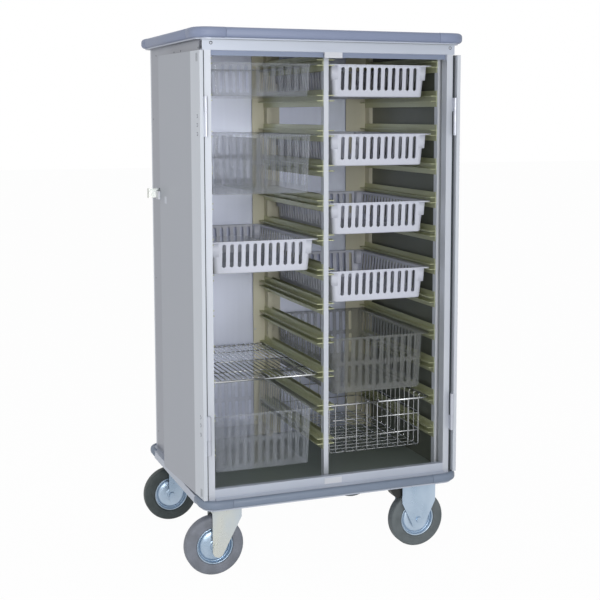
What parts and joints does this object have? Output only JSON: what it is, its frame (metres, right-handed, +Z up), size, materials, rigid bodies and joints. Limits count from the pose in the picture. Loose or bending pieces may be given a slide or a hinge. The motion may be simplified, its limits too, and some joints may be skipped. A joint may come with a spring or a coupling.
{
  "type": "enclosed storage cart",
  "caption": "Enclosed two-column storage cart on casters, doors folded back along the sides, with module baskets, a wire basket and a wire shelf on runners.",
  "frame": {"origin": "on the floor under the middle of the cart body", "axes": "+Z up, -Y out of the open front, +X to the right seen from the front"},
  "size_m": [1.044, 0.784, 1.804],
  "materials": {
    "aluminium_profile": "satin anodised",
    "wall_sheet": "satin anodised sheet",
    "floor_sheet": "dull sheet",
    "base_bumper": "matt",
    "top_bumper": "matt",
    "runner_metal": "satin",
    "rear_post_metal": "satin",
    "door_sheet": "satin anodised sheet",
    "hinge_metal": "satin",
    "white_plastic": "matt",
    "white_basket": "fine matt",
    "clear_basket": "clear, slightly smoked",
    "wire": "bright",
    "zinc": "bright zinc",
    "tyre": "matt grey rubber",
    "pedal": "matt black"
  },
  "bodies": {
    "cart_body": {"base_tray": "aluminium_profile", "base_bumper_corners": "base_bumper", "base_bumper_strips": "base_bumper", "floor_panel": "floor_sheet", "front_sill": "aluminium_profile", "front_uprights": "aluminium_profile", "rear_corner_posts": "aluminium_profile", "header_rail": "aluminium_profile", "side_panels": "wall_sheet", "rear_panel": "wall_sheet", "roof_panel": "aluminium_profile", "ceiling_panel": "wall_sheet", "top_bumper_corners": "top_bumper", "top_bumper_strips": "top_bumper", "front_posts": "aluminium_profile", "rear_posts": "rear_post_metal", "centre_runners": "runner_metal", "wall_runners": "runner_metal", "body_hinge_leaves": "hinge_metal", "hinge_pins": "hinge_metal", "door_catch_brackets": "hinge_metal", "door_catch_pads": "white_plastic", "door_keepers": "white_plastic", "fixed_caster_forks": "zinc", "swivel_caster_plates": "zinc"},
    "left_door": {"left_door_panel": "door_sheet", "left_door_stile": "aluminium_profile", "left_door_end_caps": "white_plastic", "left_door_hinge_leaves": "hinge_metal", "lock_barrel": "hinge_metal"},
    "right_door": {"right_door_panel": "door_sheet", "right_door_stile": "aluminium_profile", "right_door_end_caps": "white_plastic", "right_door_hinge_leaves": "hinge_metal"},
    "lock_knob": {"lock_knob": "hinge_metal"},
    "right_basket_1": {"right_basket_1": "white_basket"},
    "right_basket_2": {"right_basket_2": "white_basket"},
    "right_basket_3": {"right_basket_3": "white_basket"},
    "right_basket_4": {"right_basket_4": "white_basket"},
    "right_basket_5": {"right_basket_5": "clear_basket"},
    "wire_basket": {"wire_basket": "wire"},
    "left_basket_1": {"left_basket_1": "clear_basket"},
    "left_basket_2": {"left_basket_2": "clear_basket", "left_basket_2_divider": "clear_basket"},
    "left_basket_3": {"left_basket_3": "white_basket", "left_basket_3_dividers": "clear_basket"},
    "wire_shelf": {"wire_shelf": "wire"},
    "left_basket_4": {"left_basket_4": "clear_basket"},
    "front_swivel": {"front_swivel_fork": "zinc"},
    "front_swivel_wheel": {"front_swivel_wheel_rim": "zinc", "front_swivel_tyre": "tyre"},
    "front_fixed_wheel": {"front_fixed_wheel_rim": "zinc", "front_fixed_tyre": "tyre"},
    "front_brake": {"front_brake_pedal": "pedal"},
    "rear_swivel": {"rear_swivel_fork": "zinc"},
    "rear_swivel_wheel": {"rear_swivel_wheel_rim": "zinc", "rear_swivel_tyre": "tyre"},
    "rear_fixed_wheel": {"rear_fixed_wheel_rim": "zinc", "rear_fixed_tyre": "tyre"},
    "rear_brake": {"rear_brake_pedal": "pedal"}
  },
  "joints": [
    {"name": "left_door_hinge", "type": "hinge", "parent": "cart_body", "child": "left_door", "pos_m": [-0.44, -0.377, 1.005], "axis": [0, 0, -1], "range_deg": [-266.6, 0]},
    {"name": "right_door_hinge", "type": "hinge", "parent": "cart_body", "child": "right_door", "pos_m": [0.44, -0.377, 1.005], "axis": [0, 0, 1], "range_deg": [-266.6, 0]},
    {"name": "lock_turn", "type": "hinge", "parent": "left_door", "child": "lock_knob", "pos_m": [-0.47525, -0.00293, 1.237], "axis": [0.9982, 0.0593, 0], "range_deg": [0, 90]},
    {"name": "right_basket_1_slide", "type": "slide", "parent": "cart_body", "child": "right_basket_1", "axis": [0, -1, 0], "range_m": [0, 0.4]},
    {"name": "right_basket_2_slide", "type": "slide", "parent": "cart_body", "child": "right_basket_2", "axis": [0, -1, 0], "range_m": [0, 0.4]},
    {"name": "right_basket_3_slide", "type": "slide", "parent": "cart_body", "child": "right_basket_3", "axis": [0, -1, 0], "range_m": [0, 0.4]},
    {"name": "right_basket_4_slide", "type": "slide", "parent": "cart_body", "child": "right_basket_4", "axis": [0, -1, 0], "range_m": [0, 0.4]},
    {"name": "right_basket_5_slide", "type": "slide", "parent": "cart_body", "child": "right_basket_5", "axis": [0, -1, 0], "range_m": [0, 0.4]},
    {"name": "wire_basket_slide", "type": "slide", "parent": "cart_body", "child": "wire_basket", "axis": [0, -1, 0], "range_m": [0, 0.4]},
    {"name": "left_basket_1_slide", "type": "slide", "parent": "cart_body", "child": "left_basket_1", "axis": [0, -1, 0], "range_m": [0, 0.4]},
    {"name": "left_basket_2_slide", "type": "slide", "parent": "cart_body", "child": "left_basket_2", "axis": [0, -1, 0], "range_m": [0, 0.4]},
    {"name": "left_basket_3_slide", "type": "slide", "parent": "cart_body", "child": "left_basket_3", "axis": [0, -1, 0], "range_m": [0, 0.4]},
    {"name": "wire_shelf_slide", "type": "slide", "parent": "cart_body", "child": "wire_shelf", "axis": [0, -1, 0], "range_m": [0, 0.4]},
    {"name": "left_basket_4_slide", "type": "slide", "parent": "cart_body", "child": "left_basket_4", "axis": [0, -1, 0], "range_m": [0, 0.4]},
    {"name": "front_caster_swivel", "type": "hinge", "parent": "cart_body", "child": "front_swivel", "pos_m": [-0.345, -0.295, 0.22], "axis": [0, 0, 1], "continuous": true},
    {"name": "front_swivel_wheel_spin", "type": "hinge", "parent": "front_swivel", "child": "front_swivel_wheel", "pos_m": [-0.407, -0.295, 0.1], "axis": [0, 1, 0], "continuous": true},
    {"name": "front_fixed_wheel_spin", "type": "hinge", "parent": "cart_body", "child": "front_fixed_wheel", "pos_m": [0.34, -0.295, 0.1], "axis": [0, 1, 0], "continuous": true},
    {"name": "front_brake_press", "type": "hinge", "parent": "cart_body", "child": "front_brake", "pos_m": [0.292, -0.295, 0.216], "axis": [0, -1, 0], "range_deg": [0, 16]},
    {"name": "rear_caster_swivel", "type": "hinge", "parent": "cart_body", "child": "rear_swivel", "pos_m": [-0.345, 0.295, 0.22], "axis": [0, 0, 1], "continuous": true},
    {"name": "rear_swivel_wheel_spin", "type": "hinge", "parent": "rear_swivel", "child": "rear_swivel_wheel", "pos_m": [-0.407, 0.295, 0.1], "axis": [0, 1, 0], "continuous": true},
    {"name": "rear_fixed_wheel_spin", "type": "hinge", "parent": "cart_body", "child": "rear_fixed_wheel", "pos_m": [0.34, 0.295, 0.1], "axis": [0, 1, 0], "continuous": true},
    {"name": "rear_brake_press", "type": "hinge", "parent": "cart_body", "child": "rear_brake", "pos_m": [0.292, 0.295, 0.216], "axis": [0, -1, 0], "range_deg": [0, 16]}
  ]
}
